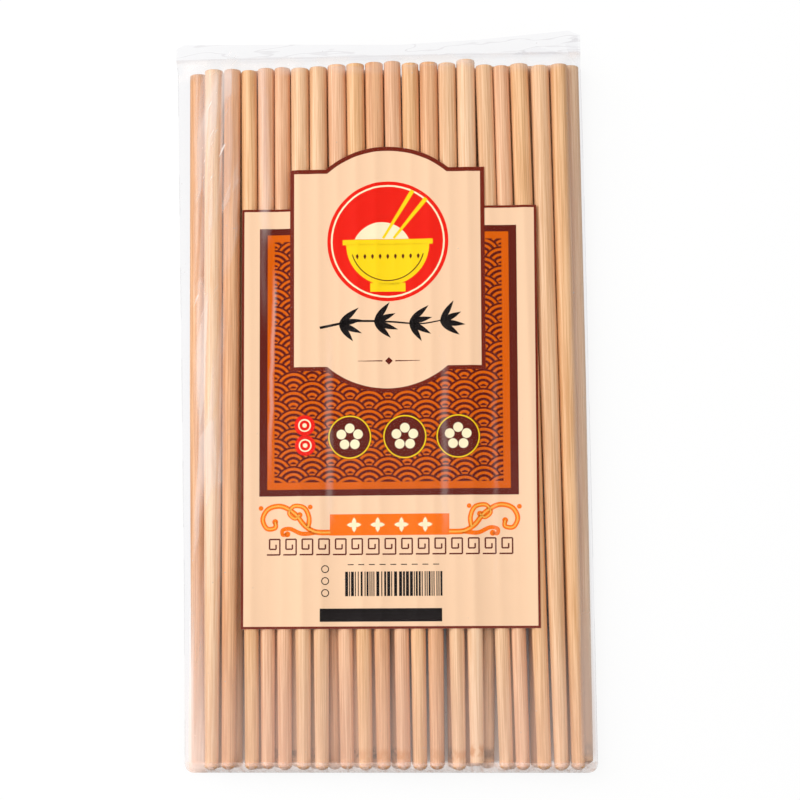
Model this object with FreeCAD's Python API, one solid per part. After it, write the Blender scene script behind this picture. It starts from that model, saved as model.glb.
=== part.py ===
import FreeCAD, Part
import math
import os

# A pack of round bamboo chopsticks: two layers of sticks side by side in a clear film bag, with
# a printed paper label between the front sticks and the film. Millimetres, with X across the
# pack, +Y towards the thick ends and +Z up from the table that the pack lies on.

# Sticks
STICK_LENGTH = 240.0
STRAIGHT_LENGTH = 110.0
TIP_DIAMETER = 4.7
TIP_DOME = 1.3
THICK_END_ROUNDING = 0.5
STICK_CLEARANCE = 0.05

# Front layer from left to right: each stick is turned and cut a little differently, and lies
# with a gap to the next one at its thick end and at its tip
FRONT_DIAMETERS = [
    6.3, 5.8, 5.4, 5.6, 5.6, 6.2, 6.1, 6.3, 6.2, 6.2,
    5.8, 5.8, 6.2, 6.1, 6.3, 5.8, 5.4, 6.3, 6.3, 5.9,
]
FRONT_EXTRA_LENGTHS = [
    -0.4, -0.5, -0.8, -0.3, 0.2, -0.4, 0.0, 0.4, 0.8, 1.0,
    1.3, 0.6, 0.5, 0.3, 0.0, -0.7, -0.9, -0.5, -1.0, -0.6,
]
FRONT_TIP_SLIDES = [
    0.0, 0.2, 0.1, 0.3, 0.0, 0.1, 0.0, 0.2, 0.0, 0.1,
    0.1, 0.0, 0.2, 0.0, 1.4, 0.1, 0.0, 0.2, 0.0, 0.1,
]
FRONT_THICK_END_GAPS = [
    0.4, 0.2, 0.3, 0.1, 0.3, 0.2, 0.2, 0.2, 0.3, 0.3,
    0.4, 0.4, 0.1, 0.3, 0.3, 0.2, 0.3, 0.8, 0.5,
]
FRONT_TIP_GAPS = [
    1.0, 3.1, 0.6, 1.1, 1.7, 1.4, 3.7, 1.6, 1.3, 2.0,
    0.8, 0.9, 2.6, 1.3, 5.0, 0.7, 2.4, 0.9, 0.9,
]

# Back layer from left to right, more loosely laid
BACK_DIAMETERS = [
    6.1, 6.0, 6.2, 6.1, 5.9, 6.2, 6.1, 6.0, 6.2, 6.1,
    6.0, 6.2, 6.1, 6.1, 6.0, 6.2, 6.0, 6.1, 6.2, 6.1,
]
BACK_EXTRA_LENGTHS = [
    -1.2, 0.2, -0.4, 0.5, 0.0, -0.6, 0.3, 0.7, -0.3, 0.1,
    0.6, -0.5, 0.0, 0.4, -0.7, 0.2, 0.5, -0.2, 0.1, -1.4,
]
BACK_TIP_SLIDES = [
    1.1, 0.4, 0.6, 0.1, 0.5, 0.8, 0.2, 0.0, 0.6, 0.3,
    0.1, 0.7, 0.4, 0.2, 0.9, 0.3, 0.0, 0.5, 0.3, 1.7,
]
BACK_THICK_END_GAPS = [
    0.4, 0.9, 1.1, 0.2, 0.6, 0.8, 0.3, 0.8, 0.5, 1.2,
    0.7, 0.4, 0.9, 0.9, 0.8, 1.3, 0.8, 0.9, 0.3,
]
BACK_TIP_GAPS = [
    1.9, 1.4, 3.3, 2.0, 1.6, 1.4, 1.8, 3.1, 1.9, 2.2,
    2.2, 1.7, 1.0, 0.6, 0.8, 3.2, 4.2, 3.9, 2.9,
]
# How far the back layer's first tip and the front layer's first stick stand to the right of the
# back layer's first thick end
BACK_TIP_LEAN = 1.6
FRONT_THICK_END_INSET = 6.4
FRONT_TIP_INSET = 6.9

# Printed label: a card with an arched plaque standing above its top edge
CARD_WIDTH = 100.7
CARD_HEIGHT = 142.7
CARD_CORNER = 1.2
PLAQUE_WIDTH = 66.1
PLAQUE_RISE = 13.4
PLAQUE_CORNER = 1.0
ARCH_WIDTH = 42.0
ARCH_RISE = 7.8
LABEL_THICKNESS = 0.25
CARD_ABOVE_TIPS = 46.9
CARD_RIGHT_OF_MIDDLE = 2.86

# Film bag: a tube of clear film, its lower end folded over and its upper end sealed flat. It is
# tight at its right side, and looser towards the thick ends at its left side
FILM = 0.1
FILM_CLEARANCE = 0.15
SIDE_SLACK = 0.6
LEFT_SLACK_AT_TIPS = 1.4
LEFT_SLACK_AT_THICK_ENDS = 4.1
TOP_SLACK = 0.4
TIP_CREST_REACH = 8.0
END_SLACK = 2.0
END_ROUNDING = 1.4
SHOULDER_LENGTH = 3.2
SEAL_DEPTH = 0.5
FLANGE_THICKNESS = 0.3
FLANGE_LEFT = 6.0
FLANGE_MIDDLE = 4.5
FLANGE_RIGHT = 8.2
FLANGE_RIGHT_FROM_SIDE = 3.6
FLANGE_CORNER_DROP = 1.5

# The bag's outline in section: which of its corners lie below its widest place
LOW_CORNERS = (0, 1, 2, 9)

FLATNESS = 1e-6

# What the sticks lie on, and the places along a stick where its fit on others is worked out
FLOOR = FILM + FILM_CLEARANCE
STATIONS = 60


def stick(diameter, length):
    """A stick from its tip at the origin to its thick end on +Y."""
    thick = diameter / 2
    tip = TIP_DIAMETER / 2
    rounding = THICK_END_ROUNDING
    edge = rounding * (1 - math.sqrt(0.5))
    dome_radius = (tip ** 2 + TIP_DOME ** 2) / (2 * TIP_DOME)
    dome_y = dome_radius - math.sqrt(dome_radius ** 2 - (tip / 2) ** 2)
    axis_start = FreeCAD.Vector(0, 0, 0)
    dome_middle = FreeCAD.Vector(tip / 2, dome_y, 0)
    tip_edge = FreeCAD.Vector(tip, TIP_DOME, 0)
    shoulder = FreeCAD.Vector(thick, length - STRAIGHT_LENGTH, 0)
    rounding_start = FreeCAD.Vector(thick, length - rounding, 0)
    rounding_middle = FreeCAD.Vector(thick - edge, length - edge, 0)
    rounding_end = FreeCAD.Vector(thick - rounding, length, 0)
    axis_end = FreeCAD.Vector(0, length, 0)
    outline = Part.Wire([
        Part.Arc(axis_start, dome_middle, tip_edge).toShape(),
        Part.makeLine(tip_edge, shoulder),
        Part.makeLine(shoulder, rounding_start),
        Part.Arc(rounding_start, rounding_middle, rounding_end).toShape(),
        Part.makeLine(rounding_end, axis_end),
        Part.makeLine(axis_end, axis_start),
    ])
    return Part.Face(outline).revolve(axis_start, FreeCAD.Vector(0, 1, 0), 360)


def radius_at(diameter, length, along):
    """Radius of a stick at a distance along it from its tip."""
    taper = min(1.0, max(0.0, along / (length - STRAIGHT_LENGTH)))
    return (TIP_DIAMETER + (diameter - TIP_DIAMETER) * taper) / 2


def spread(first_thick_end, first_tip, diameters, thick_end_gaps, tip_gaps):
    """X of each stick's thick end and tip: neighbours keep their gaps, and more where their
    shoulders would meet first."""
    thick_ends = [first_thick_end]
    tips = [first_tip]
    shoulder = STRAIGHT_LENGTH / STICK_LENGTH
    for i in range(1, len(diameters)):
        touching = (diameters[i - 1] + diameters[i]) / 2
        thick_pitch = touching + max(thick_end_gaps[i - 1], STICK_CLEARANCE)
        shoulder_pitch = touching + STICK_CLEARANCE
        least = (shoulder_pitch - (1 - shoulder) * thick_pitch) / shoulder
        tip_pitch = max(TIP_DIAMETER + tip_gaps[i - 1], least)
        thick_ends.append(thick_ends[-1] + thick_pitch)
        tips.append(tips[-1] + tip_pitch)
    return thick_ends, tips


class Lying:
    """A stick as it lies: its thick end and tip in plan, and the height of its axis there."""

    def __init__(self, diameter, extra_length, slide, thick_x, tip_x):
        self.diameter = diameter
        self.length = STICK_LENGTH + extra_length
        self.tip_y = slide
        self.thick_x = thick_x
        self.tip_x = tip_x
        self.tip_z = 0.0
        self.thick_z = 0.0

    def x_at(self, y):
        return self.tip_x + (self.thick_x - self.tip_x) * (y - self.tip_y) / self.length

    def z_at(self, y):
        return self.tip_z + (self.thick_z - self.tip_z) * (y - self.tip_y) / self.length

    def r_at(self, y):
        return radius_at(self.diameter, self.length, y - self.tip_y)

    def covers(self, y):
        margin = STICK_CLEARANCE
        return self.tip_y - margin <= y <= self.tip_y + self.length + margin

    def stations(self):
        return [self.tip_y + self.length * i / STATIONS for i in range(STATIONS + 1)]

    def solid(self):
        shape = stick(self.diameter, self.length)
        run = FreeCAD.Vector(
            self.thick_x - self.tip_x, self.length, self.thick_z - self.tip_z
        )
        turn = FreeCAD.Rotation(FreeCAD.Vector(0, 1, 0), run)
        foot = FreeCAD.Vector(self.tip_x, self.tip_y, self.tip_z)
        shape.Placement = FreeCAD.Placement(foot, turn)
        return shape


def layer(diameters, extra_lengths, slides, thick_xs, tip_xs):
    return [Lying(*row) for row in zip(diameters, extra_lengths, slides, thick_xs, tip_xs)]


def lay_on_film(sticks):
    """The straight part of each stick lies on the film, so its axis is level."""
    for one in sticks:
        one.tip_z = FLOOR + one.diameter / 2
        one.thick_z = one.tip_z


def height_needed(one, y, carriers):
    """Least height of a stick's axis at y that clears the film and the sticks under it."""
    needed = FLOOR + one.r_at(y)
    for other in carriers:
        if not other.covers(y):
            continue
        reach = one.r_at(y) + other.r_at(y) + STICK_CLEARANCE
        across = one.x_at(y) - other.x_at(y)
        if abs(across) < reach:
            needed = max(needed, other.z_at(y) + math.sqrt(reach ** 2 - across ** 2))
    return needed


def lay_on_sticks(sticks, carriers):
    """Each stick comes to rest on two points, one on each side of its balance point: of all
    such pairs, the one that holds it highest there."""
    for one in sticks:
        balance = stick(one.diameter, one.length).CenterOfMass.y + one.tip_y
        points = [(y, height_needed(one, y, carriers)) for y in one.stations()]
        best_height = 0.0
        for y_a, z_a in points:
            for y_b, z_b in points:
                if not y_a < balance <= y_b:
                    continue
                slope = (z_b - z_a) / (y_b - y_a)
                height = z_a + slope * (balance - y_a)
                if height > best_height:
                    best_height = height
                    one.tip_z = z_a + slope * (one.tip_y - y_a)
                    one.thick_z = one.tip_z + slope * one.length


def crest(sticks, low_y, high_y):
    """Height of the highest stick between two places along the pack."""
    return max(
        one.z_at(y) + one.r_at(y)
        for one in sticks for y in one.stations() if low_y <= y <= high_y
    )


def section(y, sides, front_sides, radius, ceiling, wall):
    """Closed outline of the bag around both layers at one place along the pack, its corners cut
    at 45 degrees just clear of the outer sticks. wall is 0 for the inside of the film."""
    left_slack = LEFT_SLACK_AT_TIPS
    left_slack += (LEFT_SLACK_AT_THICK_ENDS - LEFT_SLACK_AT_TIPS) * y / STICK_LENGTH
    left, right = sides
    front_left, front_right = front_sides
    reach = radius + FILM_CLEARANCE + wall
    corner = reach * math.tan(math.radians(22.5))
    middle = FLOOR + radius
    high = ceiling + wall
    points = [
        (left - corner, middle - reach),
        (right + corner, middle - reach),
        (right + reach + SIDE_SLACK, middle - corner),
        (right + reach + SIDE_SLACK, middle + corner),
        (front_right + reach + SIDE_SLACK, high - reach + corner),
        (front_right + corner, high),
        (front_left - corner, high),
        (front_left - reach - SIDE_SLACK, high - reach + corner),
        (left - reach - left_slack, middle + corner),
        (left - reach - left_slack, middle - corner),
    ]
    return [FreeCAD.Vector(x, y, z) for x, z in points]


def drawn_in(points, y, low_z, rounding):
    """The same outline at the lower end, its sides and its top rounded off."""
    xs = [p.x for p in points]
    centre_x = (min(xs) + max(xs)) / 2
    height = max(p.z for p in points) - low_z
    squeeze = 1 - 2 * rounding / (max(xs) - min(xs))
    flatten = 1 - rounding / height
    return [
        FreeCAD.Vector(
            centre_x + (p.x - centre_x) * squeeze, y, low_z + (p.z - low_z) * flatten
        )
        for p in points
    ]


def pressed_flat(points, y, z, thickness):
    """The same outline pressed flat at the flange: its low corners make the under side."""
    flat = []
    for number, p in enumerate(points):
        side = -1 if number in LOW_CORNERS else 1
        flat.append(FreeCAD.Vector(p.x, y, z + side * thickness / 2))
    return flat


def closed_wire(points):
    return Part.makePolygon(points + [points[0]])


def flat_faces(quad):
    """One flat face for four corners in a plane, or two where they are out of it."""
    a, b, c, d = quad
    normal = (b - a).cross(c - a).normalize()
    if abs((d - a).dot(normal)) < FLATNESS:
        return [Part.Face(closed_wire([a, b, c, d]))]
    return [Part.Face(closed_wire([a, b, c])), Part.Face(closed_wire([a, c, d]))]


def solid_through(outlines):
    """A solid with flat faces between outlines that have the same number of corners."""
    faces = [Part.Face(closed_wire(outlines[0])), Part.Face(closed_wire(outlines[-1]))]
    for near, far in zip(outlines, outlines[1:]):
        for i in range(len(near)):
            j = (i + 1) % len(near)
            faces += flat_faces((near[i], near[j], far[j], far[i]))
    solid = Part.makeSolid(Part.makeShell(faces))
    if solid.Volume < 0:
        solid.reverse()
    return solid


def bag_body(back, front, ceilings, slope_y, wall):
    """The bag from its lower end to the root of its flange, as a full solid: its outside with
    the film's thickness as wall, or its inside with none. Its top climbs from the first ceiling
    over the tips to the second at slope_y, and is level from there on."""
    tip_ceiling, ceiling = ceilings
    radius = max(one.diameter for one in back + front) / 2
    tips_y = min(one.tip_y for one in back + front) - FILM_CLEARANCE
    ends_y = max(one.tip_y + one.length for one in back + front) + FILM_CLEARANCE

    def around(y, height):
        sides = back[0].x_at(y), back[-1].x_at(y)
        front_sides = front[0].x_at(y), front[-1].x_at(y)
        return section(y, sides, front_sides, radius, height, wall)

    inset = FILM - wall
    flange_z = (ceiling + FILM) / 2
    over_tips = around(tips_y, tip_ceiling)
    over_ends = around(ends_y, ceiling)
    return solid_through([
        drawn_in(over_tips, tips_y - END_SLACK + inset, inset, END_ROUNDING),
        over_tips,
        around(slope_y, ceiling),
        over_ends,
        pressed_flat(
            over_ends, ends_y + SHOULDER_LENGTH, flange_z, FLANGE_THICKNESS - 2 * inset
        ),
    ])


def flange(left, right, root_y, z):
    """The flat sealed end, its upper edge cut by hand and higher at the right."""
    corner_x = right - FLANGE_RIGHT_FROM_SIDE
    points = [
        (left, root_y),
        (right, root_y),
        (right, root_y + FLANGE_RIGHT - FLANGE_CORNER_DROP),
        (corner_x, root_y + FLANGE_RIGHT),
        ((left + right) / 2, root_y + FLANGE_MIDDLE),
        (left, root_y + FLANGE_LEFT),
    ]
    outline = closed_wire([FreeCAD.Vector(x, y, z) for x, y in points])
    return Part.Face(outline).extrude(FreeCAD.Vector(0, 0, FLANGE_THICKNESS))


def film_bag(back, front, ceilings, slope_y):
    """The clear bag as one closed wall around the sticks and the label."""
    outside = bag_body(back, front, ceilings, slope_y, FILM)
    inside = bag_body(back, front, ceilings, slope_y, 0.0)
    box = outside.BoundBox
    seal_corner = FreeCAD.Vector(box.XMin, box.YMax - SEAL_DEPTH, box.ZMin)
    inside = inside.cut(Part.makeBox(box.XLength, SEAL_DEPTH, box.ZLength, seal_corner))
    root = [v.Point for v in outside.Vertexes if v.Y > box.YMax - FILM]
    left = min(p.x for p in root)
    right = max(p.x for p in root)
    low = min(p.z for p in root)
    seal = flange(left, right, box.YMax, low)
    return outside.fuse(seal).cut(inside).removeSplitter()


def rounded_corner(before, corner, after, radius):
    """An arc that rounds a square corner, from its start to its end."""
    to_before = (before - corner).normalize() * radius
    to_after = (after - corner).normalize() * radius
    start = corner + to_before
    end = corner + to_after
    centre = corner + to_before + to_after
    middle = centre + (corner - centre).normalize() * radius
    return start, Part.Arc(start, middle, end).toShape(), end


def label_sheet(middle_x, low_y, z):
    """The printed sheet, laid flat on the highest front sticks."""
    half_card = CARD_WIDTH / 2
    half_plaque = PLAQUE_WIDTH / 2
    half_arch = ARCH_WIDTH / 2
    shoulder_y = low_y + CARD_HEIGHT
    plaque_y = shoulder_y + PLAQUE_RISE

    def at(x, y):
        return FreeCAD.Vector(middle_x + x, y, z)

    low_left = at(-half_card, low_y)
    low_right = at(half_card, low_y)
    high_right = at(half_card, shoulder_y)
    high_left = at(-half_card, shoulder_y)
    inner_right = at(half_plaque, shoulder_y)
    inner_left = at(-half_plaque, shoulder_y)
    plaque_right = at(half_plaque, plaque_y)
    plaque_left = at(-half_plaque, plaque_y)
    arch_right = at(half_arch, plaque_y)
    arch_left = at(-half_arch, plaque_y)
    arch_top = at(0, plaque_y + ARCH_RISE)

    r1_start, r1, r1_end = rounded_corner(low_left, low_right, high_right, CARD_CORNER)
    r2_start, r2, r2_end = rounded_corner(low_right, high_right, inner_right, CARD_CORNER)
    r3_start, r3, r3_end = rounded_corner(inner_right, plaque_right, arch_right, PLAQUE_CORNER)
    r4_start, r4, r4_end = rounded_corner(arch_left, plaque_left, inner_left, PLAQUE_CORNER)
    r5_start, r5, r5_end = rounded_corner(inner_left, high_left, low_left, CARD_CORNER)
    r6_start, r6, r6_end = rounded_corner(high_left, low_left, low_right, CARD_CORNER)
    outline = Part.Wire([
        Part.makeLine(r6_end, r1_start), r1,
        Part.makeLine(r1_end, r2_start), r2,
        Part.makeLine(r2_end, inner_right),
        Part.makeLine(inner_right, r3_start), r3,
        Part.makeLine(r3_end, arch_right),
        Part.Arc(arch_right, arch_top, arch_left).toShape(),
        Part.makeLine(arch_left, r4_start), r4,
        Part.makeLine(r4_end, inner_left),
        Part.makeLine(inner_left, r5_start), r5,
        Part.makeLine(r5_end, r6_start), r6,
    ])
    return Part.Face(outline).extrude(FreeCAD.Vector(0, 0, LABEL_THICKNESS))


back_xs = spread(0.0, BACK_TIP_LEAN, BACK_DIAMETERS, BACK_THICK_END_GAPS, BACK_TIP_GAPS)
front_xs = spread(
    FRONT_THICK_END_INSET, FRONT_TIP_INSET,
    FRONT_DIAMETERS, FRONT_THICK_END_GAPS, FRONT_TIP_GAPS,
)
back_sticks = layer(BACK_DIAMETERS, BACK_EXTRA_LENGTHS, BACK_TIP_SLIDES, *back_xs)
front_sticks = layer(FRONT_DIAMETERS, FRONT_EXTRA_LENGTHS, FRONT_TIP_SLIDES, *front_xs)
lay_on_film(back_sticks)
lay_on_sticks(front_sticks, back_sticks)

shapes = {}
for number, one in enumerate(back_sticks, 1):
    shapes[f"back_chopstick_{number:02d}"] = one.solid()
for number, one in enumerate(front_sticks, 1):
    shapes[f"front_chopstick_{number:02d}"] = one.solid()

label_low_y = CARD_ABOVE_TIPS
label_high_y = label_low_y + CARD_HEIGHT + PLAQUE_RISE + ARCH_RISE
label_z = crest(front_sticks, label_low_y, label_high_y) + FILM_CLEARANCE
label_top = label_z + LABEL_THICKNESS
top_room = FILM_CLEARANCE + TOP_SLACK
slope_y = label_low_y - FILM_CLEARANCE
bag_ceilings = (
    crest(front_sticks, 0.0, TIP_CREST_REACH) + top_room,
    max(label_top, crest(front_sticks, slope_y, STICK_LENGTH)) + top_room,
)
shapes["film_bag"] = film_bag(back_sticks, front_sticks, bag_ceilings, slope_y)
bag_box = shapes["film_bag"].BoundBox
pack_middle = FreeCAD.Vector(bag_box.Center.x, bag_box.Center.y, 0)
shapes["printed_label"] = label_sheet(
    pack_middle.x + CARD_RIGHT_OF_MIDDLE, label_low_y, label_z
)

os.makedirs("parts", exist_ok=True)
for name, shape in shapes.items():
    shape.translate(pack_middle.negative())
    shape.exportStep(f"parts/{name}.step")
    box = shape.BoundBox
    print(
        f"{name}: {shape.isValid()} {len(shape.Solids)} "
        f"x {box.XMin:.2f} {box.XMax:.2f} y {box.YMin:.2f} {box.YMax:.2f} "
        f"z {box.ZMin:.2f} {box.ZMax:.2f} volume {shape.Volume:.0f}"
    )
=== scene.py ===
import math
import random

import bmesh
import bpy
import numpy as np
from mathutils import Matrix, Vector, noise
from mathutils.bvhtree import BVHTree


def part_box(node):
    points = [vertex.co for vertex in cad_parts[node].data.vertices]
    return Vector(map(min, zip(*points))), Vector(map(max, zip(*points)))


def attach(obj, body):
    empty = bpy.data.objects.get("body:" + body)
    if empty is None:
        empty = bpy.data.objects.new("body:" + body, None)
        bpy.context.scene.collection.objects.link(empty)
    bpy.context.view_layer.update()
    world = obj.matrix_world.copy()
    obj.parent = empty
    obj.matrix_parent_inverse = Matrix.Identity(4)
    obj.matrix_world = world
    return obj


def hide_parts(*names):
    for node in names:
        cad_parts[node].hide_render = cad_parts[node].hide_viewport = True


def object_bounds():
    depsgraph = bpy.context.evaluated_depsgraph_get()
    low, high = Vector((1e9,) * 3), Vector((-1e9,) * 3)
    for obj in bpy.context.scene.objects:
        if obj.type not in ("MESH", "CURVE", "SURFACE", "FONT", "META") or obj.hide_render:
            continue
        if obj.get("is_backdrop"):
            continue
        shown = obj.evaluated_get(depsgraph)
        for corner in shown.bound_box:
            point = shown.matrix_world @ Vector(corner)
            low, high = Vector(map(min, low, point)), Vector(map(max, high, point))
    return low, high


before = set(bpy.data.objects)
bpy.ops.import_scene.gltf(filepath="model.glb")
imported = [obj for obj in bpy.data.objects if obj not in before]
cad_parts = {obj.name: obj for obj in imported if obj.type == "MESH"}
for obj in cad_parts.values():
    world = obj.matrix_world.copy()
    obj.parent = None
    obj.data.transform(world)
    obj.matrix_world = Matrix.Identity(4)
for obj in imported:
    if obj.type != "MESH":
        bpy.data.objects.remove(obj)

cad_low, cad_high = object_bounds()

# The forty chopsticks: bamboo turned to a long taper and sanded, with no lacquer. The fibres run
# the whole length, each stick has the tone of the culm that it was split from, and the damp has
# left brown marks on some of the thin ends.
MM = 0.001
STICKS_IN_A_LAYER = 20
FIBRE_ACROSS = 0.42 * MM
FIBRE_RUN = 80.0
CLOUD_ACROSS = 3.5 * MM
STAIN_LENGTH = (7.4 * MM, 4.6 * MM)
STAIN_START = (2.0 * MM, 3.6 * MM)
# Painted shade at the tips: where the darkening starts from the very end, and where it is full.
PAINTED_TIP_SHADE = (0.8 * MM, 0.2 * MM)
FRONT_TONES = [
    "pale", "warm", "honey", "rosy", "rosy", "sand", "sand", "rosy", "honey", "warm",
    "rosy", "honey", "warm", "sand", "pale", "sand", "rosy", "honey", "sand", "honey",
]
# The last back stick has the pale tone as painted light: it lies in the shade of the last front stick,
# and the paler tone stands in for the light of the film's reflection over it.
BACK_TONES = [
    "warm", "sand", "honey", "rosy", "warm", "sand", "honey", "warm", "sand", "rosy",
    "warm", "honey", "sand", "warm", "rosy", "sand", "honey", "warm", "rosy", "pale",
]
STAINED = {
    "front": {9: 0.5, 10: 0.7, 11: 0.8, 13: 0.5, 14: 0.6, 15: 0.8},
    "back": {5: 0.7, 6: 0.8, 7: 0.5, 9: 0.8, 10: 1.0, 11: 1.0, 13: 0.9, 14: 0.9, 16: 0.8, 20: 0.7},
}


def paint(red, green, blue):
    """A colour written from 0 to 255, in the linear values that a shader takes."""
    shares = [value / 255 for value in (red, green, blue)]
    return [s / 12.92 if s <= 0.04045 else ((s + 0.055) / 1.055) ** 2.4 for s in shares] + [1.0]


TONES = {
    "pale": (paint(248, 211, 173), paint(226, 178, 134)),
    "sand": (paint(245, 202, 160), paint(217, 167, 122)),
    "rosy": (paint(244, 196, 156), paint(214, 158, 118)),
    "honey": (paint(244, 196, 148), paint(214, 160, 108)),
    "warm": (paint(238, 184, 138), paint(206, 148, 104)),
}


def add(tree, kind, **values):
    """A shader node with its sockets set by name; an underscore stands for a space."""
    made = tree.nodes.new(kind)
    for name, value in values.items():
        made.inputs[name.replace("_", " ")].default_value = value
    return made


def math_of(tree, operation, first, second):
    """One sum on two sockets or numbers."""
    made = tree.nodes.new("ShaderNodeMath")
    made.operation = operation
    for socket, value in zip(made.inputs, (first, second)):
        if isinstance(value, (int, float)):
            socket.default_value = value
        else:
            tree.links.new(value, socket)
    return made.outputs[0]


def between(tree, value, low, high):
    """0 below low and 1 above high, with a soft step; low may be the greater."""
    made = tree.nodes.new("ShaderNodeMapRange")
    made.interpolation_type = "SMOOTHSTEP"
    tree.links.new(value, made.inputs["Value"])
    made.inputs["From Min"].default_value = low
    made.inputs["From Max"].default_value = high
    return made.outputs["Result"]


def mixed(tree, share, first, second):
    """A colour part of the way from one to another."""
    made = tree.nodes.new("ShaderNodeMix")
    made.data_type = "RGBA"
    made.clamp_factor = True
    for socket, value in ((made.inputs[0], share), (made.inputs[6], first), (made.inputs[7], second)):
        if isinstance(value, (int, float, list, tuple)):
            socket.default_value = value
        else:
            tree.links.new(value, socket)
    return made.outputs[2]


def noise_of(tree, vector, size, detail=3.0, roughness=0.55):
    """Cloudy values from 0 to 1, of marks about as large as size."""
    made = add(tree, "ShaderNodeTexNoise", Scale=1 / size, Detail=detail, Roughness=roughness)
    tree.links.new(vector, made.inputs["Vector"])
    return made.outputs[0]


def mapped(tree, vector, kind="POINT", location=(0, 0, 0), rotation=(0, 0, 0), scale=(1, 1, 1)):
    made = tree.nodes.new("ShaderNodeMapping")
    made.vector_type = kind
    made.inputs["Location"].default_value = location
    made.inputs["Rotation"].default_value = rotation
    made.inputs["Scale"].default_value = scale
    tree.links.new(vector, made.inputs["Vector"])
    return made.outputs[0]


def place_on(tree):
    return tree.nodes.new("ShaderNodeTexCoord").outputs["Object"]


def stick_ends(stick):
    """Middle of a stick's tip and of its thick end."""
    places = np.array([v.co for v in stick.data.vertices])
    tip = places[places[:, 1] < places[:, 1].min() + 2 * MM]
    thick = places[places[:, 1] > places[:, 1].max() - 2 * MM]
    return Vector(tip.min(0) + tip.max(0)) / 2, Vector(thick.min(0) + thick.max(0)) / 2


def bamboo(name, stick, tone, stain, stain_colour, chance):
    """Bare bamboo whose fibres follow one stick from its tip to its thick end."""
    light, dark = TONES[tone]
    tip, thick = stick_ends(stick)
    lie = (thick - tip).to_track_quat("Y", "Z").to_euler()
    material = bpy.data.materials.new(name)
    material.use_nodes = True
    tree = material.node_tree
    shader = tree.nodes["Principled BSDF"]
    along = mapped(tree, place_on(tree), "TEXTURE", tip, lie)
    shift = [chance.uniform(-1, 1) for _ in range(3)]
    drawn = mapped(tree, along, location=shift, scale=(1, 1 / FIBRE_RUN, 1))
    fibres = noise_of(tree, drawn, FIBRE_ACROSS, detail=4.0, roughness=0.65)
    bundles = noise_of(tree, drawn, FIBRE_ACROSS * 3.5, detail=2.0)
    clouds = noise_of(tree, mapped(tree, along, location=shift, scale=(1, 0.05, 1)), CLOUD_ACROSS)
    shade = math_of(tree, "ADD", between(tree, fibres, 0.36, 0.66), bundles)
    shade = math_of(tree, "MULTIPLY", shade, 0.5)
    shade = math_of(tree, "ADD", shade, math_of(tree, "SUBTRACT", clouds, 0.5))
    colour = mixed(tree, between(tree, shade, 0.12, 0.86), dark, light)
    split = tree.nodes.new("ShaderNodeSeparateXYZ")
    tree.links.new(along, split.inputs[0])
    spread = noise_of(tree, mapped(tree, along, location=shift, scale=(1, 0.5, 1)), 1.8 * MM)
    from_tip = split.outputs[1]
    near_tip = math_of(tree, "MULTIPLY", between(tree, from_tip, *STAIN_LENGTH),
                       between(tree, from_tip, *STAIN_START))
    mark = math_of(tree, "MULTIPLY", near_tip, between(tree, spread, 0.36, 0.56))
    mark = math_of(tree, "MULTIPLY", mark, stain)
    colour = mixed(tree, mark, colour, stain_colour)
    # Painted shade: the very end of each tip is darkened, for the shade under its domed end.
    rim = math_of(tree, "MULTIPLY", between(tree, from_tip, *PAINTED_TIP_SHADE), 0.45)
    colour = mixed(tree, rim, colour, paint(138, 86, 62))
    tree.links.new(colour, shader.inputs["Base Color"])
    tree.links.new(math_of(tree, "SUBTRACT", 0.62, math_of(tree, "MULTIPLY", fibres, 0.25)),
                   shader.inputs["Roughness"])
    shader.inputs["Specular IOR Level"].default_value = 0.35
    bump = add(tree, "ShaderNodeBump", Strength=0.25, Distance=0.05 * MM)
    tree.links.new(fibres, bump.inputs["Height"])
    tree.links.new(bump.outputs[0], shader.inputs["Normal"])
    return material


chance = random.Random(20)
sticks = []
for layer, tones, stain_colour in (("front", FRONT_TONES, paint(206, 134, 66)),
                                   ("back", BACK_TONES, paint(112, 72, 36))):
    for number in range(1, STICKS_IN_A_LAYER + 1):
        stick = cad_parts[f"{layer}_chopstick_{number:02d}"]
        material = bamboo(f"bamboo_{layer}_{number:02d}", stick, tones[number - 1],
                          STAINED[layer].get(number, 0.0), stain_colour, chance)
        stick.data.materials.clear()
        stick.data.materials.append(material)
        sticks.append(stick)


# The printed label: one sheet of coated paper slipped in over the front sticks and held by the
# film. It is cut to a card with an arched plaque at its top, and sags a little between the sticks.
PAPER = 0.2 * MM
PAPER_CLEARANCE = 0.05 * MM
PAPER_SAG = 46.0
PAPER_TURNS = 1500
CARD = (100.7, 143.1)
PLAQUE_U = -0.5
PLAQUE_HALF = 33.3
PLAQUE_TOP = 156.5
ARCH_HALF = 21.0
ARCH_TOP = 164.1
GRID_X = 0.7 * MM
GRID_Y = 4.0 * MM


def looking_down(objects):
    """What a plumb line meets first on its way down onto these pieces."""
    corners, faces = [], []
    for piece in objects:
        first = len(corners)
        corners += [v.co.copy() for v in piece.data.vertices]
        faces += [[first + i for i in p.vertices] for p in piece.data.polygons]
    return BVHTree.FromPolygons(corners, faces)


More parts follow.
